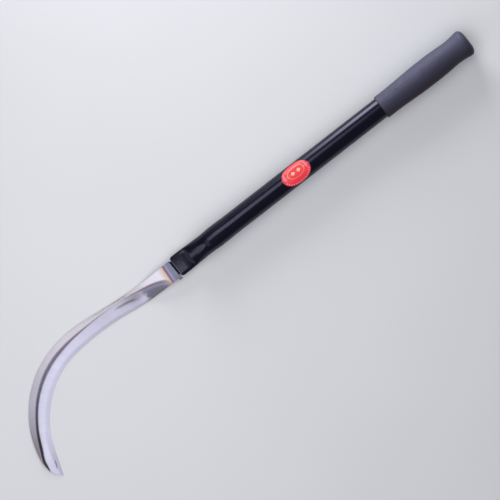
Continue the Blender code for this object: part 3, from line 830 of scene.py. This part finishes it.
enamel = Finish("black_enamel", {
    "Metallic": 0.0, "Specular IOR Level": 0.38, "Specular Tint": (0.70, 0.71, 1.0, 1.0),
})
x, y, z = enamel.axes()
from_mouth = x - MOUTH_X
pressed = enamel.rise(enamel.mark("pressed"), 0.3, 0.9)
blotches = enamel.noise(enamel.spot(x, y, z), 3.4, 4.0, 0.6)
ribs = enamel.noise(enamel.spot(x / 0.55, y / 6, z / 6), 1.0, 2.0)
peel = enamel.noise(enamel.spot(x / 2.4, y, z), 1.6, 2.0)
rubs = enamel.noise(enamel.spot(x / 40, y / 1.3, z / 1.3), 1.0, 3.0)
# The mark is painted lighter towards -Y as painted light.
lit_side = enamel.rise(y, AXIS_Y + 9, AXIS_Y - 9)
mark_light = 0.55 * lit_side + 1.1 * (blotches - 0.4) + 0.35 * (ribs - 0.5)
mark_tone = enamel.mix(PRESSED_DARK, PRESSED_LIGHT, mark_light)
# Painted shade: a dark line along a crease near the mark's +Y side, and darker still beyond it.
crease_off = y - AXIS_Y - CREASE_ACROSS + (blotches - 0.5) * 2
crease_shade = 1 - enamel.rise(abs(crease_off), 0.2, 1.1)
crease_shade = enamel.maths("MAXIMUM", crease_shade, enamel.rise(crease_off, 0.0, 0.6) * 0.4)
mark_tone = enamel.mix(mark_tone, PAINT_BLACK, crease_shade * 0.75)
colour = enamel.mix(PAINT_BLACK, mark_tone, pressed)
rim = 1 - enamel.rise(from_mouth + (blotches - 0.5) * 1.2, 0.5, 1.5)
rim = rim * enamel.rise(z, TANG_Z + 2.4, TANG_Z + 3.2)
colour = enamel.mix(colour, BARE_RIM, rim * 0.6)
gloss = 0.17 + 0.06 * rubs + 0.42 * pressed + 0.25 * rim
enamel.paint(tube, {
    "Base Color": colour,
    "Roughness": gloss,
    "Normal": enamel.bump(peel * 0.03 + pressed * (0.7 * blotches + 0.5 * ribs), 0.22),
})
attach(tube, "root")
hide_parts("handle_tube")

# Weld tack. A small grey lump of weld metal that holds the shoulder of the blade to the mouth on the
# side of the cutting edge.
TACK_SHARE = 0.96
TACK_LUMPS = 0.12
tack_low, tack_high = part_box("weld_tack")
bpy.ops.mesh.primitive_ico_sphere_add(subdivisions=3, radius=0.5, location=(tack_low + tack_high) / 2)
tack = bpy.context.object
tack.name = "mouth_tack"
tack.scale = (tack_high - tack_low) * TACK_SHARE
bpy.ops.object.transform_apply(location=True, rotation=True, scale=True)
edit(tack)
bpy.ops.mesh.select_all(action="SELECT")
bpy.ops.transform.vertex_random(offset=TACK_LUMPS * MM, uniform=0.3, normal=0.5, seed=4)
close(tack)
apply_modifier(tack, "SUBSURF", levels=1, render_levels=1)
bpy.ops.object.shade_smooth_by_angle(angle=math.radians(60))

WELD_GREY = tint(136, 138, 156)
WELD_DARK = tint(84, 82, 94)

slag = Finish("weld_metal", {"Metallic": 0.85})
place = slag.spot(*slag.axes())
crust = slag.noise(place, 0.9, 4.0, 0.6)
slag_colour = slag.mix(WELD_DARK, WELD_GREY, slag.rise(crust, 0.38, 0.6))
slag_wires = {
    "Base Color": slag_colour,
    "Roughness": 0.38 + 0.25 * crust,
    "Normal": slag.bump(crust, 0.12),
}
slag.paint(tack, slag_wires)
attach(tack, "root")
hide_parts("weld_tack")

# Weld bead under the neck. It was laid in one pass across the blade, against the lower lip of the
# mouth, and shows the ripples of the puddle.
bead_low, bead_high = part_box("weld_bead_under")
BEAD_RADIUS = (bead_high.z - bead_low.z) / 2 / MM
BEAD_HALF_LENGTH = (bead_high.y - bead_low.y) / 2 / MM
BEAD_RIPPLES = 9
BEAD_RIPPLE_DEPTH = 0.16
BEAD_STEPS = 72
BEAD_SIDES = 24


def turned(name, profile, centre, axis, sides):
    """A turned piece from (distance along its axis, radius) pairs, the first and last on the axis."""
    points = [centre + axis * distance + Vector((0, 0, radius)) for distance, radius in profile]
    bpy.ops.mesh.primitive_plane_add(size=MM, location=points[0] * MM)
    piece = bpy.context.object
    piece.name = name
    bpy.ops.object.transform_apply(location=True, rotation=True, scale=True)
    edit(piece)
    bpy.ops.mesh.select_all(action="SELECT")
    bpy.ops.mesh.merge(type="CENTER")
    for here, there in zip(points, points[1:]):
        bpy.ops.mesh.extrude_region_move(TRANSFORM_OT_translate={"value": (there - here) * MM})
    bpy.ops.mesh.select_all(action="SELECT")
    bpy.ops.mesh.spin(steps=sides, angle=2 * math.pi, center=centre * MM, axis=axis)
    bpy.ops.mesh.select_all(action="SELECT")
    bpy.ops.mesh.remove_doubles(threshold=LINE_GAP * MM / 10)
    close(piece)
    return piece


bead_profile = []
for i in range(BEAD_STEPS + 1):
    turn = math.pi * i / BEAD_STEPS
    distance = -BEAD_HALF_LENGTH * math.cos(turn)
    end_share = min(1.0, (BEAD_HALF_LENGTH - abs(distance)) / BEAD_RADIUS)
    ripple = abs(math.sin(math.pi * BEAD_RIPPLES * (distance / BEAD_HALF_LENGTH + 1) / 2))
    radius = (BEAD_RADIUS - BEAD_RIPPLE_DEPTH * (1 - ripple)) * math.sqrt(1 - (1 - end_share) ** 2)
    bead_profile.append((distance, radius if 0 < i < BEAD_STEPS else 0.0))
bead_middle = (bead_low + bead_high) / 2 / MM
bead = turned("neck_bead", bead_profile, bead_middle, Vector((0, 1, 0)), BEAD_SIDES)
bpy.ops.object.shade_smooth_by_angle(angle=math.radians(60))
slag.paint(bead, {})
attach(bead, "root")
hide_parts("weld_bead_under")

# Oval label. Printed film glued over the top of the tube and a little to one side. Its print is a
# plain ornament: a gold ring round two lozenges, a row of pale dots and short bars at the ends.
LABEL_THICKNESS = 0.3
LABEL_HALF_LENGTH = 23.4
LABEL_HALF_ARC = 17.0
LABEL_FROM_MOUTH = 218.5
LABEL_TURN = math.radians(2.5)
LABEL_SIDES = 96
LABEL_RINGS = 12
label_radius = TUBE_RADIUS + SLOT_GAP
label_middle = Vector((MOUTH_X + LABEL_FROM_MOUTH, AXIS_Y, AXIS_Z))
bpy.ops.mesh.primitive_circle_add(vertices=LABEL_SIDES, radius=1.0, fill_type="TRIFAN")
label = bpy.context.object
label.name = "printed_label"
edit(label)
for ring in range(1, LABEL_RINGS):
    pick(label, "faces", lambda face: any(len(v.link_edges) == LABEL_SIDES for v in face.verts))
    bpy.ops.mesh.inset(thickness=1.0 / LABEL_RINGS * math.cos(math.pi / LABEL_SIDES), depth=0.0)
bpy.ops.object.mode_set(mode="OBJECT")
for name in ("print_along", "print_across"):
    label.data.attributes.new(name, "FLOAT", "POINT")
for i, vertex in enumerate(label.data.vertices):
    lengthwise, across = vertex.co.x * LABEL_HALF_LENGTH, vertex.co.y * LABEL_HALF_ARC
    label.data.attributes["print_along"].data[i].value = lengthwise
    label.data.attributes["print_across"].data[i].value = across
    angle = LABEL_TURN + across / label_radius
    out = Vector((0, math.sin(angle), math.cos(angle))) * label_radius
    vertex.co = (label_middle + Vector((lengthwise, 0, 0)) + out) * MM
apply_modifier(label, "SOLIDIFY", thickness=LABEL_THICKNESS * MM, offset=1.0, use_even_offset=True)
bpy.ops.object.shade_smooth_by_angle(angle=math.radians(40))

LABEL_RED = tint(206, 42, 60)
LABEL_RED_PAINTED_LIT = tint(255, 60, 76)
LABEL_RIM_SHADE = tint(140, 22, 40)
LABEL_GOLD = tint(255, 132, 92)
LABEL_CREAM = tint(242, 172, 130)
LABEL_PINK = tint(255, 166, 184)
RING_MIDDLE = (0.6, 2.1)
RING_HALF_LENGTH = 13.7
RING_HALF_WIDTH = 7.9
LOZENGE_SPACING = 5.0
LOZENGE_SIZE = 3.4
DOT_COUNT = 30
DOT_SIZE = 1.15
DOT_OVAL = 0.87
BAR_PITCH = 2.6
BAR_HALF_LENGTH = 18.4
BAR_HALF_WIDTH = 21.0

film = Finish("printed_film", {"Metallic": 0.0, "Specular IOR Level": 0.6})
run, across = film.mark("print_along"), film.mark("print_across")
ring_run, ring_across = run - RING_MIDDLE[0], across - RING_MIDDLE[1]


def oval(run, across, half_length, half_width):
    """1 on an oval, less inside it."""
    return ((run / half_length) ** 2 + (across / half_width) ** 2) ** 0.5


ring = oval(ring_run, ring_across, RING_HALF_LENGTH, RING_HALF_WIDTH)
ring_line = 1 - film.rise(abs(ring - 1), 0.03, 0.07)
lozenge_off = (abs(abs(ring_run) - LOZENGE_SPACING) + abs(ring_across)) / LOZENGE_SIZE
lozenge = 1 - film.rise(lozenge_off, 0.85, 1.0)
lozenge_heart = 1 - film.rise(lozenge_off, 0.3, 0.42)
rim_oval = oval(run, across, LABEL_HALF_LENGTH, LABEL_HALF_ARC)
angle = film.maths("ARCTAN2", across / LABEL_HALF_ARC, run / LABEL_HALF_LENGTH)
dot_phase = abs(film.maths("FRACT", angle * (DOT_COUNT / (2 * math.pi)) + DOT_COUNT) - 0.5)
dot_off = ((dot_phase * 4.1) ** 2 + ((rim_oval - DOT_OVAL) * 20) ** 2) ** 0.5
dots = (1 - film.rise(dot_off, DOT_SIZE * 0.6, DOT_SIZE)) * (1 - film.rise(across, -4.5, -3.5))
side = oval(run, ring_across, BAR_HALF_LENGTH, BAR_HALF_WIDTH)
bar_phase = abs(film.maths("FRACT", across / BAR_PITCH + 10) - 0.5)
bars = (1 - film.rise(bar_phase, 0.28, 0.40)) * film.band(side, 0.91, 1.07, 0.02)
bars = bars * film.band(across, -1.6, 7.2, 0.3) * film.rise(abs(run), 12, 13)
worn = film.noise(film.spot(run, across), 1.6, 4.0, 0.6)
# Painted light: the red is painted brighter towards -Y, and painted shade darkens it towards its rim.
red = film.mix(LABEL_RED, LABEL_RED_PAINTED_LIT, film.rise(across, 4, -6))
red = film.mix(red, LABEL_RIM_SHADE, film.rise(rim_oval, 0.925, 1.0))
red = film.shade(red, 0.9 + 0.2 * worn)
print_share = film.maths("MAXIMUM", dots, bars * 0.5) * film.rise(worn, 0.1, 0.4)
pattern = film.mix(red, LABEL_PINK, print_share)
pattern = film.mix(pattern, LABEL_GOLD, ring_line)
pattern = film.mix(pattern, LABEL_CREAM, lozenge - 0.35 * lozenge_heart)
film.paint(label, {
    "Base Color": pattern,
    "Roughness": 0.24 + 0.12 * worn,
    "Normal": film.bump(worn * 0.5 + ring_line * 0.5, 0.03),
})
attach(label, "root")
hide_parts("oval_label")

# Grip. A sleeve of black rubber with a fine pebbled skin, moulded with one closed end and pushed on.
# It swells for the palm, narrows to a waist and flares before its flat butt.
GRIP_LENGTH = (grip_high.x - grip_low.x) / MM
GRIP_FLARE_RADIUS = AXIS_Z - 0.002
GRIP_BUTT_RADIUS = 9.0
GRIP_END_WALL = 5.0
GRIP_CORNER_START = 150.0
GRIP_RADII = [
    (1.0, 17.9), (28, 18.3), (48, 19.1), (62, 19.7), (77, 20.0), (93, 20.0), (105, 19.6), (119, 18.8),
    (127, 18.5), (134, 18.8), (141, 19.5), (146, 20.3), (GRIP_CORNER_START, GRIP_FLARE_RADIUS),
]
GRIP_STEP = 2.5
GRIP_CORNER_STEPS = 14
GRIP_SIDES = 96
LIP_RADIUS = 17.2
LIP_STEPS = 4
LIP_CHAMFER = 0.3

grip_bore = TUBE_RADIUS + SLOT_GAP
bore_end = GRIP_LENGTH - GRIP_END_WALL
grip_profile = [(bore_end, 0.0), (bore_end, grip_bore), (LIP_CHAMFER, grip_bore)]
grip_profile += [(0.0, grip_bore + LIP_CHAMFER), (0.0, LIP_RADIUS)]
for i in range(1, LIP_STEPS + 1):
    turn = math.pi / 2 * i / LIP_STEPS
    lip_rise = (GRIP_RADII[0][1] - LIP_RADIUS) * math.sin(turn)
    grip_profile.append((1 - math.cos(turn), LIP_RADIUS + lip_rise))
distance = GRIP_RADII[0][0] + GRIP_STEP
while distance < GRIP_CORNER_START:
    grip_profile.append((distance, read(GRIP_RADII, distance)))
    distance += GRIP_STEP
for i in range(GRIP_CORNER_STEPS + 1):
    turn = math.pi / 2 * i / GRIP_CORNER_STEPS
    height = (GRIP_FLARE_RADIUS - GRIP_BUTT_RADIUS) * math.cos(turn)
    corner_x = GRIP_CORNER_START + (GRIP_LENGTH - GRIP_CORNER_START) * math.sin(turn)
    grip_profile.append((corner_x, GRIP_BUTT_RADIUS + height))
grip_profile.append((GRIP_LENGTH, 0.0))
grip_start = Vector((grip_low.x / MM, AXIS_Y, AXIS_Z))
grip = turned("rubber_grip", grip_profile, grip_start, Vector((1, 0, 0)), GRIP_SIDES)
bpy.ops.object.shade_smooth_by_angle(angle=math.radians(50))

RUBBER = tint(68, 67, 90)
RUBBER_SHADE = tint(51, 48, 65)
RUBBER_SHADE_BELOW = tint(40, 31, 38)
RUBBER_LIP_SHADE = tint(22, 20, 30)
RUBBER_DARK = tint(46, 43, 59)
RUBBER_PALE = tint(86, 86, 108)

rubber = Finish("pebbled_rubber", {
    "Metallic": 0.0, "Specular IOR Level": 0.4, "Specular Tint": (0.85, 0.87, 1.0, 1.0),
})
x, y, z = rubber.axes()
place = rubber.spot(x, y, z)
pebbles = rubber.cells(place, 1.5)
fine = rubber.noise(place, 0.7, 3.0)
patches = rubber.noise(place, 14.0, 3.0)
smears = rubber.noise(rubber.spot(x / 2.2, y, z), 3.0, 4.0, 0.6)
from_lip = x - grip_low.x / MM
scuffs = rubber.rise(smears, 0.56, 0.66) * rubber.band(from_lip, 8, 36, 7)
scuffs = scuffs * rubber.rise(z, AXIS_Z + 6, AXIS_Z + 13)
skin_colour = rubber.mix(RUBBER, RUBBER_DARK, rubber.rise(pebbles, 0.45, 0.8) * 0.5)
skin_colour = rubber.mix(skin_colour, RUBBER_PALE, rubber.rise(patches, 0.5, 0.8) * 0.25)
# Painted shade: the rubber is painted darker towards -Y, and darker and redder still further round.
skin_colour = rubber.mix(skin_colour, RUBBER_SHADE, rubber.rise(y, AXIS_Y + 11, AXIS_Y - 11))
skin_colour = rubber.mix(skin_colour, RUBBER_SHADE_BELOW, rubber.rise(y, AXIS_Y - 7, AXIS_Y - 18))
skin_colour = rubber.mix(skin_colour, RUBBER_DARK, scuffs * 0.8)
# Painted shade in the joint: the lip is painted dark where the tube meets the rubber.
skin_colour = rubber.mix(skin_colour, RUBBER_LIP_SHADE, 0.9 - 0.9 * rubber.rise(from_lip, 0.5, 1.8))
skin_colour = rubber.shade(skin_colour, 0.9 + 0.2 * smears)
rubber.paint(grip, {
    "Base Color": skin_colour,
    "Roughness": 0.56 + 0.14 * fine,
    "Normal": rubber.bump((1 - pebbles) * 0.7 + fine * 0.3, 0.12),
})
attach(grip, "root")
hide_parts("grip")

# Studio. A pale floor in a dim plain room, soft lamps over the blade, the neck, the handle, the label
# and the grip, one beyond the blade, two low ones beside the handle, and one that only lightens the
# shade. The camera looks straight down from far away.
FLOOR_PALE = tint(212, 213, 218)
FLOOR_WIDTH = 16.0
FLOOR_DROP = 0.2
ROOM_COLOUR = (0.92, 0.95, 1.0, 1.0)
ROOM_BRIGHTNESS = 0.2
PHOTO_WIDTH = 0.7143
PHOTO_MIDDLE = (-0.0043, 0.0120)
CAMERA_TURN = math.radians(-37.86)
CAMERA_HEIGHT = 30.0
SENSOR_WIDTH = 36.0

bpy.ops.mesh.primitive_plane_add(size=FLOOR_WIDTH, location=(0, 0, -FLOOR_DROP * MM))
floor = bpy.context.object
floor.name = "studio_floor"
ground_card = Finish("pale_card", {"Roughness": 0.9, "Specular IOR Level": 0.1})
card_x, card_y = ground_card.axes()[:2]
fibres = ground_card.noise(ground_card.spot(card_x, card_y), 260.0)
ground_card.paint(floor, {"Base Color": ground_card.shade(FLOOR_PALE, 0.97 + 0.05 * fibres)})

room = bpy.data.worlds.new("dim_room")
bpy.context.scene.world = room
room.use_nodes = True
room.node_tree.nodes["Background"].inputs["Color"].default_value = ROOM_COLOUR
room.node_tree.nodes["Background"].inputs["Strength"].default_value = ROOM_BRIGHTNESS


def softbox(name, low, high, brightness):
    """A flat lamp between two corners, in metres, facing down or towards -Y, unseen by the camera."""
    lamp_data = bpy.data.lights.new(name, "AREA")
    lamp_data.shape = "RECTANGLE"
    lamp_data.size = high[0] - low[0]
    upright = low[1] == high[1]
    lamp_data.size_y = high[2] - low[2] if upright else high[1] - low[1]
    lamp_data.energy = brightness * math.pi * lamp_data.size * lamp_data.size_y
    lamp = bpy.data.objects.new(name, lamp_data)
    bpy.context.scene.collection.objects.link(lamp)
    lamp.location = (Vector(low) + Vector(high)) / 2
    lamp.rotation_euler = (-math.pi / 2 if upright else 0, 0, 0)
    lamp.visible_camera = False
    return lamp


softbox("lamp_over_blade", (-0.80, -0.50, 0.80), (-0.13, 0.50, 0.80), 1.0)
softbox("lamp_beyond_blade", (-2.40, -0.16, 0.80), (-1.15, 0.30, 0.80), 2.8)
softbox("lamp_over_neck", (-0.065, 0.12, 0.90), (0.00, 0.74, 0.90), 5.0)
softbox("lamp_over_handle", (0.00, 0.18, 0.90), (0.12, 0.74, 0.90), 3.2)
softbox("lamp_over_label", (0.12, 0.22, 0.90), (0.22, 0.62, 0.90), 2.1)
softbox("lamp_over_grip", (0.22, 0.22, 0.90), (0.60, 0.58, 0.90), 0.8)
softbox("lamp_beside_label", (0.16, 1.25, 0.0), (0.90, 1.25, 0.68), 7.6)
softbox("lamp_beside_grip", (0.22, 1.24, 0.0), (0.90, 1.24, 0.82), 4.5)
fill = softbox("lamp_for_the_shade", (-1.00, -1.60, 1.60), (1.00, 0.40, 1.60), 1.1)
fill.visible_glossy = False

camera_data = bpy.data.cameras.new("camera")
camera = bpy.data.objects.new("camera", camera_data)
bpy.context.scene.collection.objects.link(camera)
camera.location = (*PHOTO_MIDDLE, CAMERA_HEIGHT)
camera.rotation_euler = (0, 0, CAMERA_TURN)
camera_data.sensor_width = SENSOR_WIDTH
camera_data.lens = SENSOR_WIDTH * (CAMERA_HEIGHT - AXIS_Z * MM) / PHOTO_WIDTH
bpy.context.scene.camera = camera
bpy.context.scene.view_settings.view_transform = "Standard"
